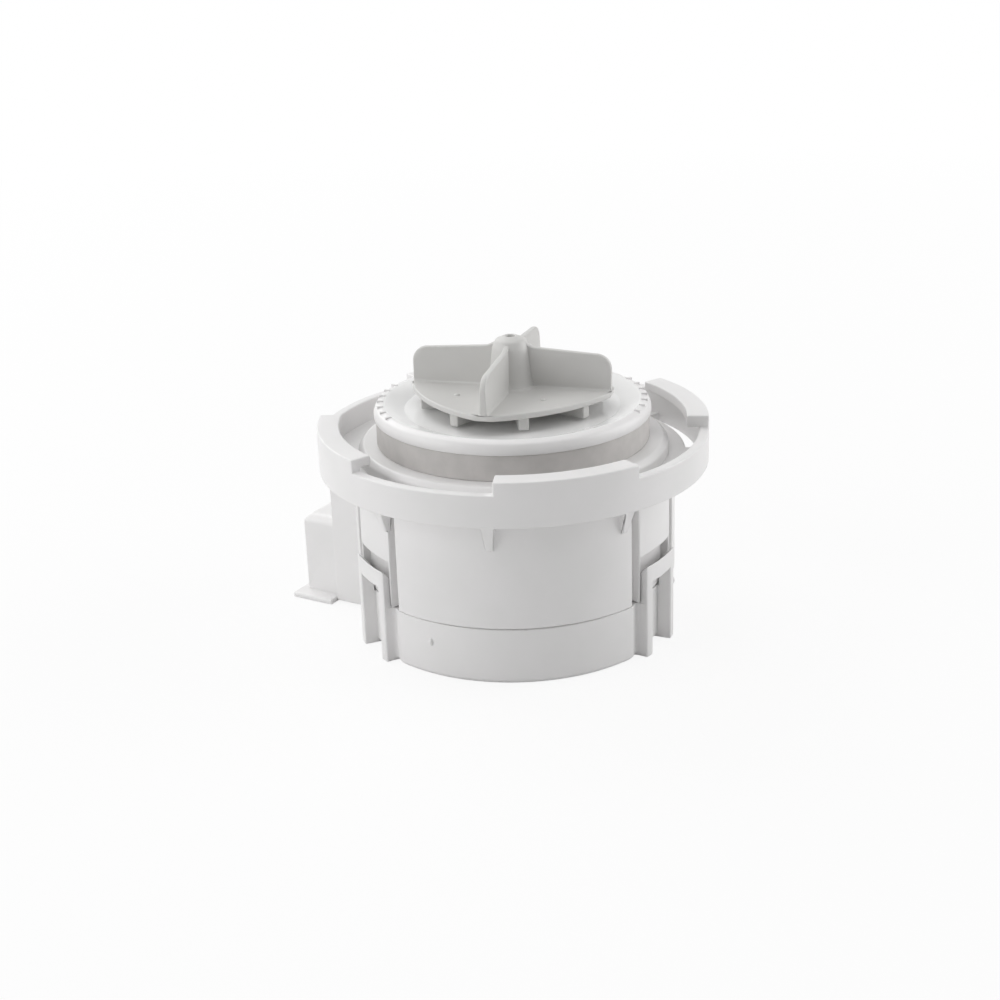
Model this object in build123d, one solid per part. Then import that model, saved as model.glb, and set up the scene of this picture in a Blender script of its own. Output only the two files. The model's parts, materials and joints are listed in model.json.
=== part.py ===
from build123d import *
from math import cos, hypot, radians, sin, sqrt, tan
import os

# Drain pump motor of a dishwasher, standing on its rear cap with the impeller up.
# Millimetres. Z is the motor axis, z = 0 the rear face; -X points at the power socket.

# Clearances
RUN_FIT = 0.05        # radial gap of the shaft in a bush or bore
SLIP_FIT = 0.15       # gap between pieces pushed together at assembly
SEAM_GAP = 0.2        # open line between housing and cap
END_PLAY = 0.15       # axial gap of a turning piece beside a fixed one
SWING_GAP = 0.3       # gap of the coupling's turning pieces

# Housing skin and cap
SKIN_R = 32.3
SKIN_WALL = 2.0
SEAM_Z = 11.7
CAP_INSET = 0.3
CAP_WALL = 1.8
CAP_FLOOR = 1.8
CAP_EDGE = 0.8
CAP_BLEND = 1.5
HOLLOW_BLEND = 0.45
SHOULDER = 1.3        # inward step at the top of the stator room
CEILING_DROP = 0.3    # stator room's ceiling below the web's top
REGISTER_WALL = 1.4   # ring of the cap that enters the skin
REGISTER_RISE = 2.5

# Clips
CLIP_ANGLES = (-1.5, 118.5, 238.5)
POCKET_ARC = 31.0
POCKET_SIDE = 3.0     # wall beside a pocket, as an angle
POCKET_DEEP = 2.7
POCKET_WALL = 1.8
PAD_INSET = 0.1
PAD_RAIL = 1.2        # rail of the pad beside the loop, as an angle
BED_TOP = 21.1
BED_DEEP = 1.6        # floor under the loop below the pad's face
BED_SIDE = 0.4        # gap beside the loop, as an angle
SLOT_TOP_IN = 29.5
SLOT_SLANT = 4.1
LOOP_PROUD = 1.1
LOOP_ARC = 20.5
LEG_ARC = 3.6
BAR_LOW = 15.5
BAR_TALL = 3.9
CATCH_BITE = 1.0
CATCH_TALL = 2.2
CATCH_ARC = 9.0

# Bayonet ring
RING_R = 39.0
RING_WALL = 2.0
RING_LOW = 34.7
RING_TALL = 6.45
WEB_THICK = 1.8
LEDGE_INSET = 1.3
LEDGE_DROP = 1.65
LEDGE_ROUND = 1.0
LUG_ANGLES = (45, 135, 225, 315)
LUG_ARC = 42.0
LUG_REACH = 4.4
LUG_TALL = 2.5
LUG_THIN = 1.0        # lug thickness where the bayonet enters
LUG_SLOT_ARC = 36.0
GUSSET_OFFSET = 24.0
GUSSET_WIDE = 2.8
GUSSET_TIP_WIDE = 1.5
GUSSET_DROP = 7.0
GUSSET_REACH = 2.6
GUSSET_TIP = 0.3

# Spigot and face plate
SPIGOT_R = 26.5
SPIGOT_WALL = 1.5
SPIGOT_TALL = 5.1
SEAL_THICK = 0.75
LIP_OVER = 1.1
LIP_TALL = 2.7
LIP_ROUND = 1.5
LIP_WIDE = 2.2
LIP_SLOPE = 0.6
LIP_STEP = 1.4        # plate's face below the lip's top
PLATE_THICK = 1.6
SPIN_GAP = 0.9        # free gap round turning pieces in the face plate

# Rotor well
WELL_R = 11.6
CAN_WALL = 1.0
WELL_FLOOR = 9.5
WELL_FLOOR_THICK = 1.4

# Shaft and bushes
SHAFT_R = 1.5
SHAFT_LOW = 5.4
SHAFT_SHORT = 3.2     # shaft's end below the hub's top
BUSH_R = 3.5
BUSH_LONG = 4.4
BOOT_WALL = 1.9
BOSS_WALL = 1.5

# Rotor
MAGNET_R = 10.8
MAGNET_LONG = 18.0
CORE_R = 3.2
CORE_FLANGE_R = 9.0
CORE_FLANGE = 1.0
WASHER_R = 4.5
WASHER_THICK = 0.6

# Start coupling
CUP_R = 8.0
CUP_WALL = 1.2
CUP_ROOF_THICK = 1.3
COVER_THICK = 1.2
COVER_GAP = 1.8
DOG_HUB_R = 3.0
DOG_ARC = 50.0
STOP_ARC = 56.0
STOP_OFFSET = 45.0    # stop's middle from the first vane, as an angle
DAMPER_ARC = 8.0
DAMPER_WALL = 0.5

# Impeller
IMPELLER_R = 20.4
DISC_CUT = 2.2        # how far the disc is cut back between the vanes
DISC_TIP_ARC = 9.0
BACK_GAP = 0.45
DISC_THICK = 1.2
VANE_TALL = 7.0
VANE_RISE = 1.0       # climb of a vane's top towards the hub
VANE_CREST = 1.1      # extra climb where it meets the hub
VANE_THICK = 1.5
VANE_ROUND = 3.0
VANE_INSET = 0.1
VANE_DRAFT = 1.5
VANE_ROOT = 0.5
VANE_FOOT = 0.7
VANE_ANGLES = (14, 104, 194, 284)
HUB_TALL = 10.1
HUB_SHOULDER_R = 3.7
HUB_WAIST_R = 4.4
HUB_ROOT_R = 5.8
HUB_ROUND = 2.4
DIMPLE_R = 0.9
DIMPLE_DEEP = 1.4
BACK_RIBS = 8
BACK_RIB_TALL = 2.45
BACK_RIB_WIDE = 2.0

# Stator
YOKE_INSET = 5.3
YOKE_WALL = 3.0
STACK_LOW = 12.0
STACK_TALL = 16.0
SHOE_R = 13.0
SHOE_THICK = 2.2
SHOE_ARC = 110.0
NECK_WIDE = 10.0
TAIL_WIDE = 7.0
TAIL_DEEP = 1.8
BOBBIN_OFF = 0.4      # bobbin clear of the pole's shoe
BOBBIN_END = 2.6      # bobbin clear of the yoke
BOBBIN_WALL = 0.9
COIL_THICK = 3.8
COIL_ROUND = 3.4
FLANGE_OVER = 0.5
POST_ARC = 8.0
POST_WIDE = 2.6
POST_ANGLES = (45, 135, 225, 315)
JUMPER_R = 20.0
JUMPER_ARC = 130.0
JUMPER_RUNS = 3
JUMPER_RISE = 1.6
WIRE_R = 0.7
LEAD_RUN = 2.5
CUTOUT_LONG = 9.0
CUTOUT_TALL = 3.0
CUTOUT_ROUND = 0.6

# Terminal block and power socket
BLOCK_DEEP = 5.7
BLOCK_WIDE = 23.0
BLOCK_LOW = 0.4
BLOCK_WALL = 1.6
SOCKET_DEEP = 8.5
SOCKET_WIDE = 20.0
SOCKET_LOW = 0.8
SOCKET_TOP = 16.5
SOCKET_WALL = 1.8
SOCKET_ROOF = 3.0
SOCKET_ROUND = 2.0
MOUTH_THICK = 1.2
MOUTH_LIP = 1.5
MOUTH_WIDE = 27.0
TONGUE_WIDE = 15.0
TONGUE_TALL = 2.6
BLADE_WIDE = 4.8
BLADE_THICK = 0.8
BLADE_PITCH = 7.6
BLADE_LONG = 10.0
BLADE_TAG = 7.0

# Worked out from the sizes above
SKIN_IN_R = SKIN_R - SKIN_WALL
CAP_R = SKIN_R - CAP_INSET
CAP_TOP = SEAM_Z - SEAM_GAP
POCKET_R = SKIN_R - POCKET_DEEP
PAD_R = SKIN_R - PAD_INSET
SLOT_TOP_OUT = SLOT_TOP_IN + SLOT_SLANT
LOOP_R = SKIN_R + LOOP_PROUD
BED_R = PAD_R - BED_DEEP
LOOP_IN_R = BED_R + SLIP_FIT
BED_ARC = LOOP_ARC + 2 * BED_SIDE
PAD_ARC = BED_ARC + 2 * PAD_RAIL
BAR_HIGH = BAR_LOW + BAR_TALL
SIDED_ARC = POCKET_ARC + 2 * POCKET_SIDE
RING_HIGH = RING_LOW + RING_TALL
RING_IN_R = RING_R - RING_WALL
WEB_TOP = RING_LOW + WEB_THICK
ROOM_TOP = RING_LOW - WEB_THICK
CEILING = WEB_TOP - CEILING_DROP
LEDGE_R = SKIN_R - LEDGE_INSET
LEDGE_TOP = RING_HIGH - LEDGE_DROP
LUG_IN_R = RING_R - LUG_REACH
LUG_TOP = RING_HIGH + LUG_TALL
LIP_R = SPIGOT_R + LIP_OVER
LIP_INNER_R = LIP_R - LIP_WIDE
LIP_LOW = LEDGE_TOP + SPIGOT_TALL
LIP_TOP = LIP_LOW + LIP_TALL
PLATE_TOP = LIP_TOP - LIP_STEP
BOOT_R = BUSH_R + BOOT_WALL
BOSS_R = BOOT_R + BOSS_WALL
REAR_BUSH_TOP = WELL_FLOOR
REAR_BUSH_LOW = REAR_BUSH_TOP - BUSH_LONG
CORE_LOW = WELL_FLOOR + END_PLAY + WASHER_THICK
CORE_HIGH = CORE_LOW + MAGNET_LONG + 2 * CORE_FLANGE
FRONT_BUSH_LOW = CORE_HIGH + WASHER_THICK + END_PLAY
FRONT_BUSH_TOP = FRONT_BUSH_LOW + BUSH_LONG
PLATE_FLOOR = FRONT_BUSH_TOP + WELL_FLOOR_THICK
DISC_LOW = PLATE_TOP + BACK_GAP + BACK_RIB_TALL
DISC_TOP = DISC_LOW + DISC_THICK
VANE_TOP = DISC_TOP + VANE_TALL
HUB_TOP = DISC_TOP + HUB_TALL
DISC_WAIST_R = IMPELLER_R - DISC_CUT
SHAFT_HIGH = HUB_TOP - SHAFT_SHORT
CUP_IN_R = CUP_R - CUP_WALL
COVER_LOW = PLATE_FLOOR + COVER_GAP
COVER_TOP = COVER_LOW + COVER_THICK
CUP_ROOF = DISC_LOW - CUP_ROOF_THICK
DOG_LOW = COVER_TOP + END_PLAY
DOG_HIGH = CUP_ROOF - END_PLAY
STOP_IN_R = DOG_HUB_R + SWING_GAP + DAMPER_WALL
STOP_ANGLE = VANE_ANGLES[0] + STOP_OFFSET
DOG_ANGLE = STOP_ANGLE + 180
YOKE_R = SKIN_R - YOKE_INSET
YOKE_IN_R = YOKE_R - YOKE_WALL
BULGE_R = YOKE_R + SLIP_FIT
STACK_HIGH = STACK_LOW + STACK_TALL
BOBBIN_IN = SHOE_R + SHOE_THICK + BOBBIN_OFF
BOBBIN_OUT = YOKE_IN_R - BOBBIN_END
COIL_IN = BOBBIN_IN + BOBBIN_WALL
COIL_OUT = BOBBIN_OUT - BOBBIN_WALL
COIL_MID = (COIL_IN + COIL_OUT) / 2
TUBE_HALF = NECK_WIDE / 2 + SLIP_FIT + BOBBIN_WALL
TUBE_LOW = STACK_LOW - SLIP_FIT - BOBBIN_WALL
TUBE_HIGH = STACK_HIGH + SLIP_FIT + BOBBIN_WALL
COIL_HALF = TUBE_HALF + COIL_THICK
COIL_LOW = TUBE_LOW - COIL_THICK
COIL_HIGH = TUBE_HIGH + COIL_THICK
BLOCK_OUT = SKIN_R + BLOCK_DEEP
SOCKET_OUT = BLOCK_OUT + SOCKET_DEEP
MOUTH_OUT = SOCKET_OUT + MOUTH_LIP
TONGUE_HIGH = SOCKET_TOP - SLIP_FIT
TONGUE_LOW = TONGUE_HIGH - TONGUE_TALL
BLADE_LEVEL = (TONGUE_LOW + TONGUE_HIGH) / 2
BLADE_X = -(BLOCK_OUT + SOCKET_OUT) / 2
CAVITY_OUT = BLOCK_OUT - BLOCK_WALL
TAG_X = BLOCK_WALL + BLADE_THICK - CAVITY_OUT
OVERLAP = 1.0         # how far joined pieces run into each other, and cuts past a face
BIG = 2 * RING_R
EASE = 1 - sqrt(0.5)  # where a rounded edge drawn as two bevels bends


def at_angle(radius, angle, height=0.0):
    """Point at a radius and angle about the motor axis."""
    return (radius * cos(radians(angle)), radius * sin(radians(angle)), height)


def turned(outline, arc=360.0, middle=0.0):
    """Solid turned about the motor axis from an (r, z) outline, centred on an angle."""
    face = make_face(Plane.XZ * Polyline(*outline, close=True))
    return Rot(0, 0, middle - arc / 2) * revolve(face, Axis.Z, arc)


def ring(r_in, r_out, low, high, arc=360.0, middle=0.0):
    """Plain ring, or a piece of one, between two radii and two heights."""
    return turned([(r_in, low), (r_out, low), (r_out, high), (r_in, high)], arc, middle)


def disc(radius, low, high):
    """Solid round between two heights."""
    return ring(0, radius, low, high)


def brick(x_span, y_span, z_span):
    """Box given by its lowest and highest value on each axis."""
    corner = Pos(x_span[0], y_span[0], z_span[0])
    size = (x_span[1] - x_span[0], y_span[1] - y_span[0], z_span[1] - z_span[0])
    return corner * Box(*size, align=(Align.MIN, Align.MIN, Align.MIN))


def bayonet_lug(angle):
    """Raised lug with an inward flange whose underside climbs like a ramp."""
    wall = ring(RING_IN_R, RING_R, RING_HIGH, LUG_TOP, LUG_ARC, angle)
    flange = ring(LUG_IN_R, RING_R, RING_HIGH, LUG_TOP, LUG_ARC, angle)
    run = 2 * RING_R * sin(radians(LUG_ARC / 2))
    climb = LUG_TOP - LUG_THIN - RING_HIGH
    side = Plane.XZ * Polygon((-run / 2, RING_HIGH + climb), (-run / 2, RING_HIGH - OVERLAP),
                              (run / 2, RING_HIGH - OVERLAP), (run / 2, RING_HIGH), align=None)
    wedge = Rot(0, 0, angle - 90) * extrude(side, amount=-BIG)
    return wall + (flange - wedge)


def gusset(angle):
    """Tapered rib under the ring, narrowing down to a tip on the skin."""
    root = SKIN_R - SKIN_WALL / 2
    head_long = SKIN_R + GUSSET_REACH - root
    tip_long = SKIN_R + GUSSET_TIP - root
    head = Pos(root + head_long / 2, 0, RING_LOW) * Rectangle(head_long, GUSSET_WIDE)
    tip = Pos(root + tip_long / 2, 0, RING_LOW - GUSSET_DROP) * Rectangle(tip_long, GUSSET_TIP_WIDE)
    return Rot(0, 0, angle) * loft([tip, head], ruled=True)


def clip_pocket(angle):
    """What one clip pocket takes away from the outside of the skin."""
    out = SKIN_R + OVERLAP
    slots = turned([(POCKET_R, SEAM_Z), (POCKET_R, SLOT_TOP_IN), (SKIN_R, SLOT_TOP_OUT),
                    (out, SLOT_TOP_OUT), (out, SEAM_Z)], POCKET_ARC, angle)
    pad = ring(POCKET_R, PAD_R, SEAM_Z, SLOT_TOP_OUT, PAD_ARC, angle)
    bed = ring(BED_R, out, SEAM_Z, BED_TOP, BED_ARC, angle)
    catch_top = BAR_LOW - SLIP_FIT
    catch = turned([(BED_R, catch_top), (LOOP_IN_R + CATCH_BITE, catch_top),
                    (BED_R, catch_top - CATCH_TALL)], CATCH_ARC, angle)
    return slots - pad + bed - catch


def motor_housing():
    """Front moulding: skin, bayonet ring, ledge, rotor well and terminal block."""
    can_r = WELL_R + CAN_WALL
    room_r = SKIN_IN_R - SHOULDER
    boss_low = REAR_BUSH_LOW - WELL_FLOOR_THICK
    well_low = WELL_FLOOR - WELL_FLOOR_THICK
    body = turned([
        (SKIN_IN_R, SEAM_Z), (SKIN_R, SEAM_Z), (SKIN_R, RING_LOW), (RING_R, RING_LOW),
        (RING_R, RING_HIGH), (RING_IN_R, RING_HIGH), (RING_IN_R, WEB_TOP), (LEDGE_R, WEB_TOP),
        (LEDGE_R, LEDGE_TOP - LEDGE_ROUND), (LEDGE_R - LEDGE_ROUND, LEDGE_TOP), (WELL_R, LEDGE_TOP),
        (WELL_R, WELL_FLOOR), (BOOT_R, WELL_FLOOR), (BOOT_R, REAR_BUSH_LOW), (0, REAR_BUSH_LOW),
        (0, boss_low), (BOSS_R, boss_low), (BOSS_R, well_low), (can_r, well_low), (can_r, CEILING),
        (room_r, CEILING), (room_r, ROOM_TOP), (SKIN_IN_R, ROOM_TOP)])
    for angle in CLIP_ANGLES:
        body += ring(BULGE_R, SKIN_IN_R + SKIN_WALL / 2, SEAM_Z, ROOM_TOP, SIDED_ARC, angle)
        body -= clip_pocket(angle)
    for angle in LUG_ANGLES:
        body += bayonet_lug(angle)
        body -= ring(LUG_IN_R - SLIP_FIT, RING_IN_R, ROOM_TOP, WEB_TOP + OVERLAP, LUG_SLOT_ARC, angle)
        body += gusset(angle - GUSSET_OFFSET) + gusset(angle + GUSSET_OFFSET)
    for angle in POST_ANGLES:
        body += ring(YOKE_IN_R + SLIP_FIT, YOKE_IN_R + POST_WIDE, STACK_HIGH, CEILING, POST_ARC, angle)
    return body + terminal_block() - block_hollow()


def terminal_block():
    """Box on the skin that carries the power socket."""
    half = BLOCK_WIDE / 2
    box = brick((-BLOCK_OUT, -SKIN_IN_R), (-half, half), (BLOCK_LOW, RING_LOW))
    box -= disc(CAP_R + SLIP_FIT, 0, SEAM_Z)
    return box - disc(SKIN_R - SKIN_WALL / 2, 0, RING_LOW)


def block_hollow():
    """Wire space in the terminal block, with the way in from the stator and the socket's window."""
    half = BLOCK_WIDE / 2 - BLOCK_WALL
    low = TONGUE_LOW - BLOCK_WALL / 2
    room = brick((-CAVITY_OUT, -SKIN_R), (-half, half), (low, ROOM_TOP))
    way_in = brick((-CAVITY_OUT, -BULGE_R), (-half, half), (SEAM_Z + REGISTER_RISE + OVERLAP, ROOM_TOP))
    wide = TONGUE_WIDE / 2 + SLIP_FIT
    window = brick((-BLOCK_OUT - OVERLAP, OVERLAP - CAVITY_OUT), (-wide, wide),
                   (TONGUE_LOW - SLIP_FIT, SOCKET_TOP))
    return room + way_in + window


def snap_loop(angle):
    """Two legs and the cross-bar that snaps over the housing's catch."""
    loop = ring(LOOP_IN_R, LOOP_R, BAR_LOW, BAR_HIGH, LOOP_ARC, angle)
    for side in (-1, 1):
        leg = angle + side * (LOOP_ARC - LEG_ARC) / 2
        loop += ring(POCKET_R - POCKET_WALL / 2, LOOP_R, 0, CAP_TOP, LEG_ARC, leg)
        loop += ring(LOOP_IN_R, LOOP_R, CAP_TOP - OVERLAP, BAR_HIGH, LEG_ARC, leg)
    return loop


def sector_plan(r_in, r_out, arc, middle):
    """Flat piece of a ring, centred on an angle."""
    outer = CenterArc((0, 0), r_out, middle - arc / 2, arc)
    inner = CenterArc((0, 0), r_in, middle - arc / 2, arc)
    return make_face(outer + inner + Line(inner @ 0, outer @ 0) + Line(inner @ 1, outer @ 1))


def pocket_plan(radius, pocket_r, arc, blend):
    """Circle with the three clip pockets cut in and their outer corners blended."""
    plan = Circle(radius)
    for angle in CLIP_ANGLES:
        plan -= sector_plan(pocket_r, radius + OVERLAP, arc, angle)
    outer = plan.vertices().filter_by(lambda v: hypot(v.X, v.Y) > (radius + pocket_r) / 2)
    return fillet(outer, blend)


def bottom_cap():
    """Rear cap: a shallow cup with a register ring, stator posts and three snap loops."""
    cap = extrude(pocket_plan(CAP_R, POCKET_R, POCKET_ARC, CAP_BLEND), amount=CAP_TOP)
    cap = chamfer(cap.edges().group_by(Axis.Z)[0], CAP_EDGE)
    hollow = pocket_plan(CAP_R - CAP_WALL, POCKET_R - POCKET_WALL, SIDED_ARC, HOLLOW_BLEND)
    cap -= Pos(0, 0, CAP_FLOOR) * extrude(hollow, amount=CAP_TOP)
    register_r = SKIN_IN_R - SLIP_FIT
    register_in_r = register_r - REGISTER_WALL
    register_low = CAP_TOP - REGISTER_RISE
    register_high = SEAM_Z + REGISTER_RISE
    root_r = CAP_R - CAP_WALL / 2
    register = turned([(register_in_r, register_low), (root_r, register_low), (root_r, CAP_TOP),
                       (register_r, CAP_TOP), (register_r, register_high), (register_in_r, register_high)])
    for angle in CLIP_ANGLES:
        register -= ring(0, SKIN_R, 0, register_high + OVERLAP, SIDED_ARC + POCKET_SIDE, angle)
    cap += register
    for angle in CLIP_ANGLES:
        cap += ring(POCKET_R - POCKET_WALL / 2, BED_R, CAP_EDGE, CAP_TOP, LOOP_ARC, angle)
        cap += snap_loop(angle)
    for angle in POST_ANGLES:
        cap += ring(YOKE_IN_R + SLIP_FIT, YOKE_IN_R + POST_WIDE, CAP_FLOOR / 2, STACK_LOW, POST_ARC, angle)
    return cap


def face_plate():
    """Round plate behind the impeller, with a rounded lip, the coupling well and the front bush boss."""
    skirt_in_r = SPIGOT_R - SPIGOT_WALL
    shaft_hole = SHAFT_R + SPIN_GAP
    well_r = CUP_R + SPIN_GAP
    well_out_r = WELL_R - SLIP_FIT
    plate_low = PLATE_TOP - PLATE_THICK
    bend = EASE * LIP_ROUND
    return turned([
        (shaft_hole, FRONT_BUSH_TOP), (BOOT_R, FRONT_BUSH_TOP), (BOOT_R, FRONT_BUSH_LOW),
        (BOSS_R, FRONT_BUSH_LOW), (BOSS_R, FRONT_BUSH_TOP), (well_out_r, FRONT_BUSH_TOP),
        (well_out_r, plate_low), (skirt_in_r, plate_low), (skirt_in_r, LEDGE_TOP), (SPIGOT_R, LEDGE_TOP),
        (SPIGOT_R, LIP_LOW), (LIP_R, LIP_LOW), (LIP_R, LIP_TOP - LIP_ROUND), (LIP_R - bend, LIP_TOP - bend),
        (LIP_R - LIP_ROUND, LIP_TOP), (LIP_INNER_R, LIP_TOP), (LIP_INNER_R - LIP_SLOPE, PLATE_TOP),
        (well_r, PLATE_TOP), (well_r, PLATE_FLOOR), (shaft_hole, PLATE_FLOOR)])


def chamber_seal():
    """Soft ring round the spigot, under the lip."""
    return ring(SPIGOT_R, SPIGOT_R + SEAL_THICK, LEDGE_TOP, LIP_LOW)


def impeller_vane(angle):
    """One straight vane: drafted sides, soft roots, round outer corner, top climbing to the hub."""
    half = VANE_THICK / 2
    foot = half + VANE_FOOT
    inner_top = VANE_TOP + VANE_RISE
    crest = inner_top + VANE_CREST
    thin = half - (crest - DISC_TOP) * tan(radians(VANE_DRAFT))
    section = make_face(Plane.YZ * Polyline(
        (-foot, DISC_LOW), (foot, DISC_LOW), (foot, DISC_TOP), (half, DISC_TOP), (thin, crest),
        (-thin, crest), (-half, DISC_TOP), (-foot, DISC_TOP), close=True))
    for side in (-1, 1):
        root = section.vertices().sort_by_distance(Vector(0, side * half, DISC_TOP))[0]
        section = fillet(root, VANE_ROOT)
    reach = IMPELLER_R - VANE_INSET
    vane = extrude(section, amount=reach)
    outline = make_face(Plane.XZ * Polyline(
        (0, DISC_LOW), (reach, DISC_LOW), (reach, VANE_TOP), (HUB_SHOULDER_R + VANE_CREST, inner_top),
        (HUB_SHOULDER_R - VANE_CREST, crest), (0, crest), close=True))
    corner = outline.vertices().sort_by_distance(Vector(reach, 0, VANE_TOP))[0]
    outline = fillet(corner, VANE_ROUND)
    return Rot(0, 0, angle) * (vane & extrude(outline, amount=foot, both=True))


def impeller_disc():
    """Disc cut back between the vanes, so that each vane ends on a tip."""
    step = 360 / len(VANE_ANGLES)
    edges = []
    for angle in VANE_ANGLES:
        leave = at_angle(IMPELLER_R, angle + DISC_TIP_ARC / 2)
        waist = at_angle(DISC_WAIST_R, angle + step / 2)
        reach = at_angle(IMPELLER_R, angle + step - DISC_TIP_ARC / 2)
        edges.append(ThreePointArc(leave, waist, reach))
        edges.append(Line(reach, at_angle(IMPELLER_R, angle + step + DISC_TIP_ARC / 2)))
    return Pos(0, 0, DISC_LOW) * extrude(make_face(edges), amount=DISC_THICK, dir=(0, 0, 1))


def impeller():
    """Open impeller: disc, four vanes, bell hub, back ribs and the coupling cup."""
    wheel = impeller_disc()
    for angle in VANE_ANGLES:
        wheel += impeller_vane(angle)
    wheel += impeller_hub()
    joined = DISC_LOW + DISC_THICK / 2
    rib = brick((CUP_IN_R, DISC_WAIST_R), (-BACK_RIB_WIDE / 2, BACK_RIB_WIDE / 2),
                (DISC_LOW - BACK_RIB_TALL, joined))
    for index in range(BACK_RIBS):
        wheel += Rot(0, 0, VANE_ANGLES[0] + (index + 0.5) * 360 / BACK_RIBS) * rib
    wheel += disc(CUP_R, COVER_TOP, joined)
    swing_low = COVER_TOP - OVERLAP
    swing_room = disc(CUP_IN_R, swing_low, CUP_ROOF)
    wheel -= swing_room - ring(STOP_IN_R, CUP_R, swing_low, CUP_ROOF, STOP_ARC, STOP_ANGLE)
    return wheel - disc(SHAFT_R + RUN_FIT, CUP_ROOF - OVERLAP, SHAFT_HIGH + END_PLAY)


def impeller_hub():
    """Bell-shaped hub, turned, with a dimple in its flat top."""
    flare = HUB_ROOT_R - HUB_WAIST_R
    bend = EASE * HUB_ROUND
    return turned([
        (0, DISC_LOW), (HUB_ROOT_R, DISC_LOW), (HUB_ROOT_R, DISC_TOP),
        (HUB_WAIST_R + EASE * flare, DISC_TOP + EASE * flare), (HUB_WAIST_R, DISC_TOP + flare),
        (HUB_SHOULDER_R, HUB_TOP - HUB_ROUND), (HUB_SHOULDER_R - bend, HUB_TOP - bend),
        (HUB_SHOULDER_R - HUB_ROUND, HUB_TOP), (DIMPLE_R, HUB_TOP), (DIMPLE_R, HUB_TOP - DIMPLE_DEEP),
        (0, HUB_TOP - DIMPLE_DEEP)])


def coupling_cover():
    """Ring that closes the coupling cup from below and keeps the impeller on the dog."""
    return ring(SHAFT_R + SWING_GAP, CUP_R, COVER_LOW, COVER_TOP)


def drive_dog():
    """Driver fixed on the shaft, with one wing inside the impeller's cup."""
    hub = ring(SHAFT_R, DOG_HUB_R, DOG_LOW, DOG_HIGH)
    wing = ring(SHAFT_R, CUP_IN_R - SWING_GAP, DOG_LOW, DOG_HIGH, DOG_ARC, DOG_ANGLE)
    return hub + wing - disc(SHAFT_R, 0, HUB_TOP)


def stop_damper():
    """Rubber saddle on the impeller's stop."""
    saddle = ring(STOP_IN_R - DAMPER_WALL, CUP_IN_R - SWING_GAP, DOG_LOW, DOG_HIGH,
                  STOP_ARC + 2 * DAMPER_ARC, STOP_ANGLE)
    return saddle - ring(STOP_IN_R, CUP_R, COVER_TOP, CUP_ROOF, STOP_ARC, STOP_ANGLE)


def rotor_core():
    """Moulded bobbin that carries the magnet on the shaft."""
    tall = CORE_HIGH - CORE_FLANGE
    return turned([
        (SHAFT_R, CORE_LOW), (CORE_FLANGE_R, CORE_LOW), (CORE_FLANGE_R, CORE_LOW + CORE_FLANGE),
        (CORE_R, CORE_LOW + CORE_FLANGE), (CORE_R, tall), (CORE_FLANGE_R, tall), (CORE_FLANGE_R, CORE_HIGH),
        (SHAFT_R, CORE_HIGH)])


def pole_piece():
    """Laminated pole with its shoe, neck and tail, on the +Y side."""
    shoe = ring(SHOE_R, SHOE_R + SHOE_THICK, STACK_LOW, STACK_HIGH, SHOE_ARC, 90)
    heights = (STACK_LOW, STACK_HIGH)
    neck_end = sqrt(YOKE_IN_R ** 2 - (NECK_WIDE / 2) ** 2) - RUN_FIT
    neck = brick((-NECK_WIDE / 2, NECK_WIDE / 2), (SHOE_R + SHOE_THICK / 2, neck_end), heights)
    tail = brick((-TAIL_WIDE / 2, TAIL_WIDE / 2), (SHOE_R + SHOE_THICK, YOKE_IN_R + TAIL_DEEP), heights)
    return shoe + neck + tail


def stator_yoke():
    """Laminated ring round the poles, with a slot for each pole's tail."""
    heights = (STACK_LOW, STACK_HIGH)
    half = TAIL_WIDE / 2 + RUN_FIT
    reach = YOKE_IN_R + TAIL_DEEP + RUN_FIT
    return ring(YOKE_IN_R, YOKE_R, *heights) - brick((-half, half), (-reach, reach), heights)


def coil_frame(y_span, half, low, high):
    """Closed frame round a pole's neck, on the +Y side."""
    hole = NECK_WIDE / 2 + SLIP_FIT
    outer = brick((-half, half), y_span, (low, high))
    return outer - brick((-hole, hole), y_span, (STACK_LOW - SLIP_FIT, STACK_HIGH + SLIP_FIT))


def bobbin():
    """Plastic former with two flanges."""
    former = coil_frame((BOBBIN_IN, BOBBIN_OUT), TUBE_HALF, TUBE_LOW, TUBE_HIGH)
    for y_span in ((BOBBIN_IN, COIL_IN), (COIL_OUT, BOBBIN_OUT)):
        former += coil_frame(y_span, COIL_HALF + FLANGE_OVER, COIL_LOW - FLANGE_OVER,
                             COIL_HIGH + FLANGE_OVER)
    return former


def winding():
    """Copper winding between the bobbin's flanges, with rounded corners."""
    y_span = (COIL_IN, COIL_OUT)
    pack = brick((-COIL_HALF, COIL_HALF), y_span, (COIL_LOW, COIL_HIGH))
    pack = fillet(pack.edges().filter_by(Axis.Y), COIL_ROUND)
    return pack - brick((-TUBE_HALF, TUBE_HALF), y_span, (TUBE_LOW, TUBE_HIGH))


def wire(points):
    """Round wire along straight runs with mitred bends."""
    path = Polyline(*points)
    return sweep(Plane(path @ 0, z_dir=path % 0) * Circle(WIRE_R), path, transition=Transition.RIGHT)


def coil_jumper():
    """Wire from one winding to the other, over the rotor well's free side."""
    level = COIL_HIGH + JUMPER_RISE
    stops = [(step / JUMPER_RUNS - 1 / 2) * JUMPER_ARC for step in range(JUMPER_RUNS + 1)]
    over = [at_angle(JUMPER_R, stop, level) for stop in stops]
    first = at_angle(JUMPER_R, stops[0], COIL_HIGH)
    last = at_angle(JUMPER_R, stops[-1], COIL_HIGH)
    return wire([first] + over + [last])


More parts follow.
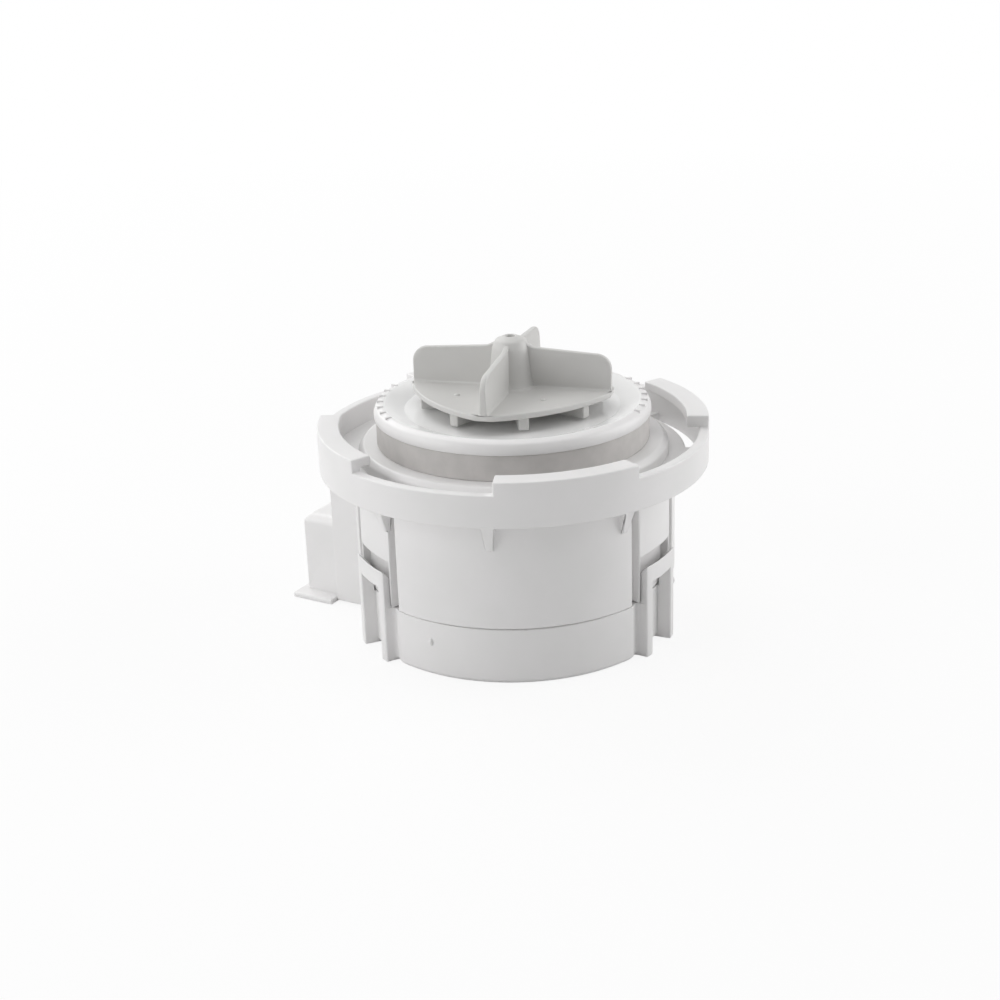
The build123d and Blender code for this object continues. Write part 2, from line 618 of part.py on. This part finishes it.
def lead_wire(side):
    """Wire from a winding to its terminal blade."""
    level = STACK_HIGH + WIRE_R + RUN_FIT
    x_blade = TAG_X - BLADE_THICK / 2
    y_blade = side * BLADE_PITCH / 2
    return wire([
        (-COIL_HALF, side * COIL_MID, level), (-COIL_HALF - LEAD_RUN, side * COIL_MID, level),
        (x_blade, y_blade, level), (x_blade, y_blade, BLADE_LEVEL + BLADE_TAG)])


def heat_cutout():
    """Over-temperature switch resting on one winding."""
    wide = COIL_OUT - COIL_IN - 2 * SLIP_FIT
    box = brick((-CUTOUT_LONG / 2, CUTOUT_LONG / 2), (SLIP_FIT - COIL_OUT, SLIP_FIT - COIL_OUT + wide),
                (COIL_HIGH, COIL_HIGH + CUTOUT_TALL))
    return fillet(box.edges().filter_by(Axis.Z), min(CUTOUT_ROUND, wide / 3))


def connector_socket():
    """Power socket box with a flanged mouth that opens towards the rear."""
    half = SOCKET_WIDE / 2
    box = brick((-SOCKET_OUT, -BLOCK_OUT), (-half, half), (SOCKET_LOW, SOCKET_TOP))
    outer_edges = box.edges().filter_by(Axis.Y).group_by(Axis.Z)[-1].sort_by(Axis.X)[:1]
    side_edges = box.edges().filter_by(Axis.X).group_by(Axis.Z)[-1]
    box = fillet(outer_edges + side_edges, SOCKET_ROUND)
    box += brick((-MOUTH_OUT, -BLOCK_OUT), (-MOUTH_WIDE / 2, MOUTH_WIDE / 2), (0, MOUTH_THICK))
    tongue = TONGUE_WIDE / 2
    box += brick((-BLOCK_OUT - OVERLAP, OVERLAP - CAVITY_OUT), (-tongue, tongue), (TONGUE_LOW, TONGUE_HIGH))
    mouth = half - SOCKET_WALL
    box -= brick((SOCKET_WALL - SOCKET_OUT, -BLOCK_OUT - SOCKET_WALL), (-mouth, mouth),
                 (-OVERLAP, SOCKET_TOP - SOCKET_ROOF))
    for side in (-1, 1):
        box -= terminal_blade(side)
    return box


def terminal_blade(side):
    """Bent brass blade: contact end in the socket, tag for the lead inside the block."""
    y_mid = side * BLADE_PITCH / 2
    y_span = (y_mid - BLADE_WIDE / 2, y_mid + BLADE_WIDE / 2)
    low = BLADE_LEVEL - BLADE_THICK / 2
    high = BLADE_LEVEL + BLADE_THICK / 2
    x_span = (BLADE_X - BLADE_THICK / 2, BLADE_X + BLADE_THICK / 2)
    contact = brick(x_span, y_span, (low - BLADE_LONG, high))
    bridge = brick((BLADE_X, TAG_X), y_span, (low, high))
    tag = brick((TAG_X - BLADE_THICK, TAG_X), y_span, (low, BLADE_LEVEL + BLADE_TAG))
    return contact + bridge + tag


def build_parts():
    """Every piece by its node name."""
    far_side = Rot(0, 0, 180)
    pole = pole_piece()
    former = bobbin()
    coil = winding()
    washer_low = CORE_LOW - WASHER_THICK
    return {
        "motor_housing": motor_housing(),
        "bottom_cap": bottom_cap(),
        "face_plate": face_plate(),
        "chamber_seal": chamber_seal(),
        "connector_socket": connector_socket(),
        "terminal_blade_a": terminal_blade(1),
        "terminal_blade_b": terminal_blade(-1),
        "stator_yoke": stator_yoke(),
        "pole_piece_a": pole,
        "pole_piece_b": far_side * pole,
        "bobbin_a": former,
        "bobbin_b": far_side * former,
        "winding_a": coil,
        "winding_b": far_side * coil,
        "coil_jumper": coil_jumper(),
        "lead_wire_a": lead_wire(1),
        "lead_wire_b": lead_wire(-1),
        "heat_cutout": heat_cutout(),
        "rear_bush": ring(SHAFT_R + RUN_FIT, BUSH_R, REAR_BUSH_LOW, REAR_BUSH_TOP),
        "rear_boot": ring(BUSH_R, BOOT_R, REAR_BUSH_LOW, REAR_BUSH_TOP),
        "front_bush": ring(SHAFT_R + RUN_FIT, BUSH_R, FRONT_BUSH_LOW, FRONT_BUSH_TOP),
        "front_boot": ring(BUSH_R, BOOT_R, FRONT_BUSH_LOW, FRONT_BUSH_TOP),
        "rotor_shaft": disc(SHAFT_R, SHAFT_LOW, SHAFT_HIGH),
        "rotor_core": rotor_core(),
        "rotor_magnet": ring(CORE_R, MAGNET_R, CORE_LOW + CORE_FLANGE, CORE_HIGH - CORE_FLANGE),
        "thrust_washer_rear": ring(SHAFT_R, WASHER_R, washer_low, CORE_LOW),
        "thrust_washer_front": ring(SHAFT_R, WASHER_R, CORE_HIGH, CORE_HIGH + WASHER_THICK),
        "drive_dog": drive_dog(),
        "impeller": impeller(),
        "coupling_cover": coupling_cover(),
        "stop_damper": stop_damper(),
    }


os.makedirs("parts", exist_ok=True)
for node, shape in build_parts().items():
    export_step(shape, f"parts/{node}.step")
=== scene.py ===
import json
from math import atan2, cos, degrees, hypot, radians, sin

import bmesh
import bpy
from mathutils import Matrix, Vector


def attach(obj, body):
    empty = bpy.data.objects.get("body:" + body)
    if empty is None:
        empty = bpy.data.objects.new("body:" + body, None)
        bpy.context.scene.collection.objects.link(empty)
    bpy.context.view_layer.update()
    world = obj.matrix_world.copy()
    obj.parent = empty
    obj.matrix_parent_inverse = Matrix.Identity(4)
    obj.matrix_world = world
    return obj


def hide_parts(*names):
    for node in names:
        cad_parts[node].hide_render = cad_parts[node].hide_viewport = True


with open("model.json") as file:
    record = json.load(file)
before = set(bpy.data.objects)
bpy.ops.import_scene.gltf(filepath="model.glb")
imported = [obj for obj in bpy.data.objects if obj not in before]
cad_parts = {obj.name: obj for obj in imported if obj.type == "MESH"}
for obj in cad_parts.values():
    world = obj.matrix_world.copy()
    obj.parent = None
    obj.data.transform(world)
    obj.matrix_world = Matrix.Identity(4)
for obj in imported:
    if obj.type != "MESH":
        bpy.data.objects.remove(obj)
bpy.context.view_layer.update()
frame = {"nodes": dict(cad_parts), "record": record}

# Lengths are in metres and angles in degrees, unless a comment says otherwise
MM = 0.001
scene = bpy.context.scene
scene.view_settings.view_transform = "Standard"


def link(tree, source, output, target, socket):
    """Joins an output of one node to an input of another."""
    tree.links.new(source.outputs[output], target.inputs[socket])


def fresh_material(name):
    """Node material with a Principled shader and Object coordinates."""
    made = bpy.data.materials.new(name)
    made.use_nodes = True
    tree = made.node_tree
    shader = tree.nodes["Principled BSDF"]
    place = tree.nodes.new("ShaderNodeTexCoord")
    return made, tree, shader, place


def noise(tree, place, scale, detail=3.0, stretch=(1, 1, 1)):
    """Noise on Object coordinates; scale counts features to the metre."""
    turn = tree.nodes.new("ShaderNodeMapping")
    turn.inputs["Scale"].default_value = stretch
    link(tree, place, "Object", turn, "Vector")
    cloud = tree.nodes.new("ShaderNodeTexNoise")
    cloud.inputs["Scale"].default_value = scale
    cloud.inputs["Detail"].default_value = detail
    link(tree, turn, "Vector", cloud, "Vector")
    return cloud


def two_tone(tree, source, output, shader, colour, tint, low=0.35, high=0.65):
    """Base colour that drifts between two close tones."""
    ramp = tree.nodes.new("ShaderNodeValToRGB")
    for stop, place, tone in zip(ramp.color_ramp.elements, (low, high), (colour, tint)):
        stop.position = place
        stop.color = (*tone, 1)
    link(tree, source, output, ramp, "Fac")
    link(tree, ramp, "Color", shader, "Base Color")


def uneven_gloss(tree, cloud, shader, low, high):
    """Roughness that wanders a little over the surface."""
    span = tree.nodes.new("ShaderNodeMapRange")
    span.inputs["To Min"].default_value = low
    span.inputs["To Max"].default_value = high
    link(tree, cloud, "Fac", span, "Value")
    link(tree, span, "Result", shader, "Roughness")


def relief(tree, source, output, shader, strength, depth):
    """Fine surface relief from a texture."""
    bump = tree.nodes.new("ShaderNodeBump")
    bump.inputs["Strength"].default_value = strength
    bump.inputs["Distance"].default_value = depth
    link(tree, source, output, bump, "Height")
    link(tree, bump, "Normal", shader, "Normal")


def moulded_plastic(name, colour, tint, rough, skin_depth=0.02 * MM):
    """Satin moulded plastic with a fine spark-eroded skin."""
    made, tree, shader, place = fresh_material(name)
    drift = noise(tree, place, scale=70, detail=4.0)
    gloss = noise(tree, place, scale=260, detail=5.0)
    skin = noise(tree, place, scale=5200, detail=2.0)
    two_tone(tree, drift, "Fac", shader, colour, tint)
    uneven_gloss(tree, gloss, shader, low=rough - 0.07, high=rough + 0.07)
    relief(tree, skin, "Fac", shader, strength=0.35, depth=skin_depth)
    shader.inputs["IOR"].default_value = 1.49
    shader.inputs["Specular IOR Level"].default_value = 0.5
    return made


def soft_rubber(name, colour, tint):
    """Dull rubber with a mottled bloom."""
    made, tree, shader, place = fresh_material(name)
    bloom = noise(tree, place, scale=320, detail=5.0)
    gloss = noise(tree, place, scale=900, detail=3.0)
    skin = noise(tree, place, scale=3600, detail=3.0)
    two_tone(tree, bloom, "Fac", shader, colour, tint)
    uneven_gloss(tree, gloss, shader, low=0.62, high=0.8)
    relief(tree, skin, "Fac", shader, strength=0.5, depth=0.03 * MM)
    return made


def drawn_metal(name, colour, tint, rough, stretch):
    """Bare metal with fine drawing lines across one direction."""
    made, tree, shader, place = fresh_material(name)
    lines = noise(tree, place, scale=2400, detail=4.0, stretch=stretch)
    two_tone(tree, lines, "Fac", shader, colour, tint)
    uneven_gloss(tree, lines, shader, low=rough - 0.08, high=rough + 0.1)
    relief(tree, lines, "Fac", shader, strength=0.3, depth=0.008 * MM)
    shader.inputs["Metallic"].default_value = 1.0
    return made


def sheet_stack(name, colour, tint, band_scale):
    """Edges of stacked steel sheets, as soft bands along Z."""
    made, tree, shader, place = fresh_material(name)
    drift = noise(tree, place, scale=500, detail=4.0)
    two_tone(tree, drift, "Fac", shader, colour, tint)
    bands = tree.nodes.new("ShaderNodeTexWave")
    bands.bands_direction = "Z"
    bands.inputs["Scale"].default_value = band_scale
    bands.inputs["Distortion"].default_value = 0.0
    link(tree, place, "Object", bands, "Vector")
    uneven_gloss(tree, bands, shader, low=0.36, high=0.6)
    relief(tree, bands, "Fac", shader, strength=0.8, depth=0.06 * MM)
    shader.inputs["Metallic"].default_value = 0.85
    return made


def sintered(name, colour, tint, rough):
    """Pressed and fired material with pale grains."""
    made, tree, shader, place = fresh_material(name)
    grains = tree.nodes.new("ShaderNodeTexVoronoi")
    grains.inputs["Scale"].default_value = 3200
    link(tree, place, "Object", grains, "Vector")
    gloss = noise(tree, place, scale=700, detail=3.0)
    two_tone(tree, grains, "Distance", shader, tint, colour, low=0.0, high=0.45)
    uneven_gloss(tree, gloss, shader, low=rough - 0.1, high=rough + 0.1)
    relief(tree, grains, "Distance", shader, strength=0.3, depth=0.02 * MM)
    return made


# Each finish: its name, its kind, its two tones, and what else that kind asks for
FINISHES = (
    ("white_plastic", moulded_plastic, (0.83, 0.82, 0.82), (0.80, 0.795, 0.79), 0.36),
    ("impeller_plastic", moulded_plastic, (0.63, 0.625, 0.61), (0.60, 0.595, 0.58), 0.45),
    ("seal_rubber", soft_rubber, (0.60, 0.58, 0.565), (0.55, 0.535, 0.52)),
    ("terminal_brass", drawn_metal, (0.80, 0.62, 0.30), (0.70, 0.52, 0.24), 0.3, (1, 1, 0.05)),
    ("core_steel", sheet_stack, (0.34, 0.35, 0.37), (0.26, 0.27, 0.29), 200.0),
    ("bobbin_plastic", moulded_plastic, (0.045, 0.047, 0.05), (0.06, 0.06, 0.062), 0.45),
    ("copper_wire", drawn_metal, (0.72, 0.30, 0.14), (0.60, 0.22, 0.09), 0.28, (1, 1, 1)),
    ("bush_carbon", sintered, (0.03, 0.03, 0.032), (0.10, 0.10, 0.105), 0.45),
    ("shaft_steel", drawn_metal, (0.66, 0.67, 0.69), (0.54, 0.55, 0.57), 0.22, (0.05, 0.05, 1)),
    ("magnet_ferrite", sintered, (0.035, 0.036, 0.04), (0.09, 0.09, 0.095), 0.5),
    ("coupling_plastic", moulded_plastic, (0.58, 0.56, 0.52), (0.54, 0.52, 0.48), 0.42),
)
finishes = {name: kind(name, *look) for name, kind, *look in FINISHES}
slot_of = {row["node"]: row["material_slot"] for row in frame["record"]["subparts"]}
body_of = {node: body for body, nodes in frame["record"]["behaviour"]["bodies"].items() for node in nodes}
for node, slot in slot_of.items():
    mesh = frame["nodes"][node].data
    mesh.materials.clear()
    mesh.materials.append(finishes[slot])


def shown(name, mesh):
    """New object in the scene."""
    piece = bpy.data.objects.new(name, mesh)
    scene.collection.objects.link(piece)
    return piece


def plain_mesh(piece):
    """Turns an object's modifiers into a plain mesh and takes them off."""
    bpy.context.view_layer.update()
    graph = bpy.context.evaluated_depsgraph_get()
    mesh = bpy.data.meshes.new_from_object(piece.evaluated_get(graph))
    piece.modifiers.clear()
    old = piece.data
    piece.data = mesh
    bpy.data.meshes.remove(old)


SHARP_CORNER = radians(26.0)
ROUND_STEPS = 2
WELD = 0.002 * MM


def softened(name, form, width):
    """New piece from a closed form, with the small round that a mould gives its outer edges."""
    weight = form.edges.layers.float.new("bevel_weight_edge")
    for face in form.faces:
        face.smooth = True
    for edge in form.edges:
        if len(edge.link_faces) == 2 and edge.calc_face_angle() > SHARP_CORNER:
            edge[weight] = 1.0 if edge.is_convex else 0.0
            edge.smooth = edge.is_convex
    mesh = bpy.data.meshes.new(name)
    form.to_mesh(mesh)
    form.free()
    piece = shown(name, mesh)
    rounding = piece.modifiers.new("rounded edges", "BEVEL")
    rounding.width = width
    rounding.segments = ROUND_STEPS
    rounding.limit_method = "WEIGHT"
    rounding.use_clamp_overlap = False
    rounding.loop_slide = False
    shading = piece.modifiers.new("flat faces stay flat", "WEIGHTED_NORMAL")
    shading.keep_sharp = True
    plain_mesh(piece)
    return piece


def moulded_edges(node, width, reshape=None):
    """Copy of a solid with softened edges, which stands for it."""
    mesh = frame["nodes"][node].data.copy()
    if "custom_normal" in mesh.attributes:
        mesh.attributes.remove(mesh.attributes["custom_normal"])
    form = bmesh.new()
    form.from_mesh(mesh)
    bpy.data.meshes.remove(mesh)
    bmesh.ops.remove_doubles(form, verts=form.verts, dist=WELD)
    if reshape:
        for corner in form.verts:
            reshape(corner.co)
    piece = softened(node + "_moulded", form, width)
    piece.data.materials.append(finishes[slot_of[node]])
    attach(piece, body_of[node])
    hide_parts(node)
    return piece


# Slack for picking a solid's corners by where they are
NEAR = 0.05 * MM

BLOCK_FACE = -38.0 * MM
ROOF_FOOT = 14.2 * MM
ROOF_RISE = 1.8 * MM


def higher_roof(spot):
    """Lifts the socket's roof to the height that the photograph shows."""
    if spot.x < BLOCK_FACE + NEAR and spot.z > ROOF_FOOT:
        spot.z += ROOF_RISE


BAR_TOP = 19.4 * MM
BAR_BACK_R = 31.5 * MM
BAR_SLOPE = 2.9 * MM


def thinner_bar(spot):
    """Slopes the top of a clip's bar down behind its front edge, which leaves a dark gap under the pad."""
    if abs(spot.z - BAR_TOP) < NEAR and hypot(spot.x, spot.y) < BAR_BACK_R:
        spot.z -= BAR_SLOPE


RING_LOW = 34.7 * MM
RING_HIGH = 41.15 * MM
RAMP_HIGH = 43.15 * MM
LUG_BACK_R = 34.5 * MM
RING_BACK_R = 37.5 * MM
RAMP_SHARE = 0.4
LUG_END = 246.0
LUG_MORE = 3.0
LUG_BLEND = 20.0


def fuller_lugs(spot):
    """Thickens the entry end of the bayonet lugs, and draws the left lug's end further round the ring."""
    away = hypot(spot.x, spot.y)
    if away < LUG_BACK_R or spot.z < RING_LOW - NEAR:
        return
    if away < RING_BACK_R and RING_HIGH < spot.z < RAMP_HIGH:
        spot.z = RING_HIGH + (spot.z - RING_HIGH) * RAMP_SHARE
    turn = degrees(atan2(spot.y, spot.x)) % 360
    share = max(0.0, 1 - abs(turn - LUG_END) / LUG_BLEND)
    if away > RING_BACK_R or spot.z > RING_LOW + NEAR:
        further = radians(turn + LUG_MORE * share)
        spot.x = away * cos(further)
        spot.y = away * sin(further)


PLATE_TOP = 45.9 * MM
WELL_EDGE_R = 20.0 * MM
SLOPE_FOOT_R = 21.5 * MM


def shallow_lip(spot):
    """Runs the plate's face up to its lip in a shallow slope in place of a step."""
    away = hypot(spot.x, spot.y)
    if abs(spot.z - PLATE_TOP) < NEAR and away > WELL_EDGE_R:
        spot.x *= SLOPE_FOOT_R / away
        spot.y *= SLOPE_FOOT_R / away


# Each solid with softened edges: the width of its rounds in millimetres, and what else changes
SOFTENED = (
    ("motor_housing", 0.3, fuller_lugs),
    ("bottom_cap", 0.3, thinner_bar),
    ("connector_socket", 0.35, higher_roof),
    ("impeller", 0.28, None),
    ("chamber_seal", 0.2, None),
    ("coupling_cover", 0.2, None),
    ("drive_dog", 0.2, None),
    ("face_plate", 0.3, shallow_lip),
)
moulded = {node: moulded_edges(node, width * MM, reshape) for node, width, reshape in SOFTENED}

LIP_TOP = 47.3 * MM
LIP_INNER_R = 25.6 * MM
FACES_UP = 0.9
# Tones, roughness and relief depth of the plate's face: the lower roughness is a real gloss, and the paler
# tones than the white plastic are painted highlight
GLOSS_AND_PAINTED_LIGHT = ((0.93, 0.93, 0.925), (0.91, 0.91, 0.905), 0.16, 0.006 * MM)


def glossy_face_painted_light(plate):
    """Gives the plate's face inside its lip a glossier finish than the lip. Its paler tones are painted light
    standing for a bright, washed-out highlight on that face.
    """
    plate.materials.append(moulded_plastic("polished_white", *GLOSS_AND_PAINTED_LIGHT))
    for face in plate.polygons:
        middle = face.center
        inside = hypot(middle.x, middle.y) < LIP_INNER_R
        if inside and face.normal.z > FACES_UP and middle.z > PLATE_TOP - NEAR:
            face.material_index = 1


glossy_face_painted_light(moulded["face_plate"].data)

CLIP_ANGLES = (-1.5, 118.5, 238.5)
CAP_R = 32.0 * MM
CAP_HIGH = 11.5 * MM
CAP_EDGE = 0.8 * MM
LEG_R = 33.2 * MM
LEG_SIDE = 10.25
FILLET_ROOT_R = 29.5 * MM
FILLET_RIDGE = 15.3
FILLET_END = 18.4
FILLET_ROUND = 0.15 * MM
COVE_LEAD = 1.1 * MM
COVE_DIP = 2.1 * MM
COVE_STEPS = 14
CAP_STEPS = 4


def cove_outline():
    """Plan of the fillet beside a clip's leg, as angles from the clip's middle and radii."""
    wide = radians(FILLET_RIDGE - LEG_SIDE) * CAP_R
    run = ((0, CAP_R), (COVE_LEAD, CAP_R), (wide, CAP_R - COVE_DIP), (wide, LEG_R))
    flat = FILLET_END - FILLET_RIDGE
    outline = [(FILLET_END - step * flat / CAP_STEPS, CAP_R) for step in range(CAP_STEPS)]
    for step in range(COVE_STEPS + 1):
        t = step / COVE_STEPS
        shares = ((1 - t) ** 3, 3 * t * (1 - t) ** 2, 3 * t * t * (1 - t), t ** 3)
        along = sum(share * point[0] for share, point in zip(shares, run))
        radius = sum(share * point[1] for share, point in zip(shares, run))
        outline.append((FILLET_RIDGE - degrees(along / CAP_R), radius))
    return outline


def cap_fillets():
    """Coves that blend the clips' legs into the rear cap."""
    form = bmesh.new()
    outline = cove_outline()
    for middle in CLIP_ANGLES:
        for side in (-1, 1):
            rings = []
            for high, inset in ((0, CAP_EDGE), (CAP_EDGE, 0), (CAP_HIGH, 0)):
                plan = [(angle, radius - inset) for angle, radius in outline]
                plan += [(LEG_SIDE, FILLET_ROOT_R), (FILLET_END, FILLET_ROOT_R)]
                turns = [(radians(middle + side * angle), radius) for angle, radius in plan]
                rings.append([form.verts.new((r * cos(turn), r * sin(turn), high)) for turn, r in turns])
            for below, above in zip(rings, rings[1:]):
                for first in range(len(below)):
                    after = (first + 1) % len(below)
                    form.faces.new((below[first], below[after], above[after], above[first]))
            form.faces.new(rings[0])
            form.faces.new(rings[-1])
    bmesh.ops.recalc_face_normals(form, faces=form.faces)
    piece = softened("cap_fillets", form, FILLET_ROUND)
    piece.data.materials.append(finishes["white_plastic"])
    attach(piece, "housing")


cap_fillets()


def maths(tree, operation, *values):
    """Math node fed by numbers or by other nodes' outputs."""
    node = tree.nodes.new("ShaderNodeMath")
    node.operation = operation
    for socket, value in zip(node.inputs, values):
        if isinstance(value, (int, float)):
            socket.default_value = value
        else:
            tree.links.new(value, socket)
    return node.outputs[0]


def three(tree, x=None, y=None, z=None):
    """Vector made of the outputs that are given."""
    made = tree.nodes.new("ShaderNodeCombineXYZ")
    for value, socket in zip((x, y, z), made.inputs):
        if value is not None:
            tree.links.new(value, socket)
    return made.outputs[0]


BALL_SEGMENTS = 16
BALL_RINGS = 8


def marks_tree(name, shape):
    """Geometry tree that sets small moulded marks in an arc about the motor axis."""
    tree = bpy.data.node_groups.new(name, "GeometryNodeTree")
    tree.interface.new_socket("Marks", in_out="OUTPUT", socket_type="NodeSocketGeometry")
    tree.interface.new_socket("Count", in_out="INPUT", socket_type="NodeSocketInt")
    for label in ("Radius", "Height", "First Angle", "Step", "Long", "Wide", "Tall"):
        tree.interface.new_socket(label, in_out="INPUT", socket_type="NodeSocketFloat")
    tree.interface.new_socket("Finish", in_out="INPUT", socket_type="NodeSocketMaterial")
    sizes = tree.nodes.new("NodeGroupInput").outputs
    index = tree.nodes.new("GeometryNodeInputIndex").outputs[0]
    angle = maths(tree, "MULTIPLY_ADD", index, sizes["Step"], sizes["First Angle"])
    across = maths(tree, "MULTIPLY", maths(tree, "COSINE", angle), sizes["Radius"])
    along = maths(tree, "MULTIPLY", maths(tree, "SINE", angle), sizes["Radius"])
    points = tree.nodes.new("GeometryNodePoints")
    tree.links.new(sizes["Count"], points.inputs["Count"])
    tree.links.new(three(tree, across, along, sizes["Height"]), points.inputs["Position"])
    size = three(tree, sizes["Long"], sizes["Wide"], sizes["Tall"])
    if shape == "bar":
        mark = tree.nodes.new("GeometryNodeMeshCube")
        tree.links.new(size, mark.inputs["Size"])
    else:
        ball = tree.nodes.new("GeometryNodeMeshUVSphere")
        ball.inputs["Segments"].default_value = BALL_SEGMENTS
        ball.inputs["Rings"].default_value = BALL_RINGS
        ball.inputs["Radius"].default_value = 0.5
        mark = tree.nodes.new("GeometryNodeTransform")
        link(tree, ball, "Mesh", mark, "Geometry")
        tree.links.new(size, mark.inputs["Scale"])
    spread = tree.nodes.new("GeometryNodeInstanceOnPoints")
    link(tree, points, 0, spread, "Points")
    link(tree, mark, 0, spread, "Instance")
    tree.links.new(three(tree, z=angle), spread.inputs["Rotation"])
    real = tree.nodes.new("GeometryNodeRealizeInstances")
    link(tree, spread, 0, real, 0)
    dress = tree.nodes.new("GeometryNodeSetMaterial")
    link(tree, real, 0, dress, "Geometry")
    tree.links.new(sizes["Finish"], dress.inputs["Material"])
    link(tree, dress, 0, tree.nodes.new("NodeGroupOutput"), 0)
    return tree


trees = {"bar": marks_tree("moulded ticks", "bar"), "dome": marks_tree("moulded nubs", "dome")}


def moulded_marks(name, shape, body, slot, **sizes):
    """Piece made of repeated marks, as a plain mesh that rides on a body."""
    piece = shown(name, bpy.data.meshes.new(name))
    made = piece.modifiers.new("marks", "NODES")
    made.node_group = trees[shape]
    for item in trees[shape].interface.items_tree:
        if item.in_out == "INPUT":
            label = item.name.lower().replace(" ", "_")
            made[item.identifier] = finishes[slot] if label == "finish" else sizes[label]
    plain_mesh(piece)
    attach(piece, body)


DISC_TOP = 50.0 * MM
for name, first in (("rim_ticks_left", 186), ("rim_ticks_right", 6)):
    moulded_marks(name, "bar", "housing", "white_plastic", count=7, radius=26.3 * MM, height=LIP_TOP - NEAR,
                  first_angle=radians(first), step=radians(8), long=1.2 * MM, wide=0.5 * MM, tall=0.5 * MM)
moulded_marks("ejector_nubs", "dome", "wheel", "impeller_plastic", count=4, radius=12.3 * MM, height=DISC_TOP,
              first_angle=radians(59), step=radians(90), long=1.2 * MM, wide=1.2 * MM, tall=0.7 * MM)
moulded_marks("gate_nubs", "dome", "housing", "white_plastic", count=3, radius=CAP_R, height=7.2 * MM,
              first_angle=radians(-92), step=radians(120), long=0.9 * MM, wide=1.0 * MM, tall=1.6 * MM)
moulded_marks("seam_ticks", "bar", "housing", "white_plastic", count=3, radius=CAP_R, height=10.6 * MM,
              first_angle=radians(-58), step=radians(120), long=0.3 * MM, wide=0.4 * MM, tall=1.6 * MM)

AIM = Vector((0, 0, 30 * MM))


def direction(azimuth, elevation):
    """Unit vector away from the object; azimuth 0 is towards -Y and 90 towards +X."""
    turn = radians(azimuth)
    rise = radians(elevation)
    return Vector((sin(turn) * cos(rise), -cos(turn) * cos(rise), sin(rise)))


def either(tree, share, first, second, target):
    """Mixes two shaders by a share and sends the result to an output node."""
    mix = tree.nodes.new("ShaderNodeMixShader")
    tree.links.new(share, mix.inputs[0])
    link(tree, first, 0, mix, 1)
    link(tree, second, 0, mix, 2)
    link(tree, mix, "Shader", tree.nodes[target], "Surface")


FILL_LIGHT = 0.26
SEEN_LIGHT = 1.0


def white_surround():
    """World that looks white and lights the object evenly."""
    world = bpy.data.worlds.new("white surround")
    scene.world = world
    world.use_nodes = True
    tree = world.node_tree
    fill = tree.nodes["Background"]
    clean = tree.nodes.new("ShaderNodeBackground")
    for light, strength in ((fill, FILL_LIGHT), (clean, SEEN_LIGHT)):
        light.inputs["Color"].default_value = (1, 1, 1, 1)
        light.inputs["Strength"].default_value = strength
    path = tree.nodes.new("ShaderNodeLightPath").outputs
    through = maths(tree, "MAXIMUM", path["Is Glossy Ray"], path["Is Transmission Ray"])
    seen = maths(tree, "MAXIMUM", path["Is Camera Ray"], through)
    either(tree, seen, fill, clean, "World Output")


FLOOR_HALF = 4.0
FLOOR_DROP = 0.05 * MM
FLOOR_TONE = (0.86, 0.86, 0.86, 1)
SHADOW_REACH = 0.12
SHADOW_END = 0.6
GLOW_NEAR = 0.88
GLOW_FAR = 1.0


def white_floor():
    """Pale floor that keeps a faint shadow of the object and runs into the white surround further out."""
    form = bmesh.new()
    bmesh.ops.create_grid(form, x_segments=1, y_segments=1, size=FLOOR_HALF)
    mesh = bpy.data.meshes.new("floor")
    form.to_mesh(mesh)
    form.free()
    floor = shown("floor", mesh)
    floor.location.z = -FLOOR_DROP
    made, tree, shader, place = fresh_material("white floor")
    shader.inputs["Base Color"].default_value = FLOOR_TONE
    shader.inputs["Roughness"].default_value = 0.9
    glow = tree.nodes.new("ShaderNodeEmission")
    glow.inputs["Strength"].default_value = 1.0
    away = tree.nodes.new("ShaderNodeVectorMath")
    away.operation = "LENGTH"
    link(tree, place, "Object", away, 0)
    fade = tree.nodes.new("ShaderNodeMapRange")
    fade.inputs["From Min"].default_value = SHADOW_REACH
    fade.inputs["From Max"].default_value = SHADOW_END
    fade.inputs["To Min"].default_value = GLOW_NEAR
    fade.inputs["To Max"].default_value = GLOW_FAR
    link(tree, away, "Value", fade, "Value")
    seen = tree.nodes.new("ShaderNodeLightPath").outputs["Is Camera Ray"]
    share = maths(tree, "MULTIPLY", seen, fade.outputs["Result"])
    either(tree, share, shader, glow, "Material Output")
    mesh.materials.append(made)


LAMP_AWAY = 0.8
LAMP_SIZE = 0.6


def softbox(name, azimuth, elevation, watts):
    """Large square soft lamp aimed at the object, placed by its angle round it and above the floor."""
    lamp = bpy.data.lights.new(name, "AREA")
    lamp.size = LAMP_SIZE
    lamp.energy = watts
    box = shown(name, lamp)
    towards = direction(azimuth, elevation)
    box.location = AIM + towards * LAMP_AWAY
    box.rotation_euler = (-towards).to_track_quat("-Z", "Y").to_euler()


# The roll is in radians, the lens and the sensor in millimetres, the shift in shares of the frame
CAMERA_TURN = 30
CAMERA_RISE = 20.2
CAMERA_ROLL = 0.030
CAMERA_AWAY = 0.34
LENS = 60.46
SENSOR = 36.0
SHIFT = (-0.0146, -0.0208)
NEAREST_SEEN = 0.01


def camera():
    """Camera at the photograph's angle, a third of a metre away and rolled a little."""
    lens = bpy.data.cameras.new("camera")
    lens.lens = LENS
    lens.sensor_width = SENSOR
    lens.shift_x, lens.shift_y = SHIFT
    lens.clip_start = NEAREST_SEEN
    eye = shown("camera", lens)
    back = direction(CAMERA_TURN, CAMERA_RISE)
    turn = (-back).to_track_quat("-Z", "Y").to_matrix() @ Matrix.Rotation(-CAMERA_ROLL, 3, "Z")
    eye.matrix_world = Matrix.Translation(AIM + back * CAMERA_AWAY) @ turn.to_4x4()
    scene.camera = eye


white_surround()
white_floor()
softbox("left window", azimuth=-40, elevation=22, watts=2.8)
softbox("right window", azimuth=125, elevation=20, watts=3.4)
softbox("back left", azimuth=250, elevation=40, watts=2.4)
softbox("overhead", azimuth=0, elevation=86, watts=1.5)
camera()
